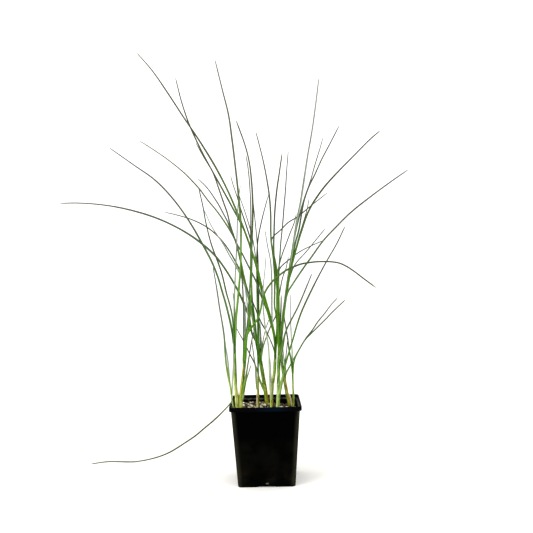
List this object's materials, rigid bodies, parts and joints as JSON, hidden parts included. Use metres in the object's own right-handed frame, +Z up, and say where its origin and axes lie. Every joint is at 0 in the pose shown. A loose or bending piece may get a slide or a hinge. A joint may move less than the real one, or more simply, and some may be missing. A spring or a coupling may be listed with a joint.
{
  "type": "potted ornamental grass",
  "caption": "Dwarf cattail: slim arching blades in several shoots, growing through gravel in a square black plastic nursery pot.",
  "frame": {"origin": "centre of the pot's underside, on the floor plane", "axes": "+Z up along the shoots, +Y away from the side seen in the picture, +X to its right"},
  "size_m": [0.4609, 0.2577, 0.5644],
  "materials": {
    "pot_black": "satin black moulded plastic, a little dusty",
    "soil": "dark damp potting soil",
    "gravel": "matt cream and tan grit",
    "leaf_green": "smooth living leaf, mid to dark green, pale yellow-green at the base",
    "sheath_dry": "dry papery straw-coloured sheath",
    "sheath_old": "old red-brown sheath"
  },
  "bodies": {
    "root": {"pot": "pot_black", "soil": "soil", "gravel": "gravel", "shoot_a": "leaf_green", "shoot_b": "leaf_green", "shoot_c": "leaf_green", "shoot_d": "leaf_green", "shoot_e": "leaf_green", "shoot_f": "leaf_green", "shoot_g": "leaf_green", "shoot_h": "leaf_green", "shoot_i": "leaf_green", "sprout": "leaf_green", "hanging_leaf": "leaf_green", "sheath_cream": "sheath_dry", "sheath_straw": "sheath_dry", "sheath_brown": "sheath_old"}
  },
  "joints": []
}
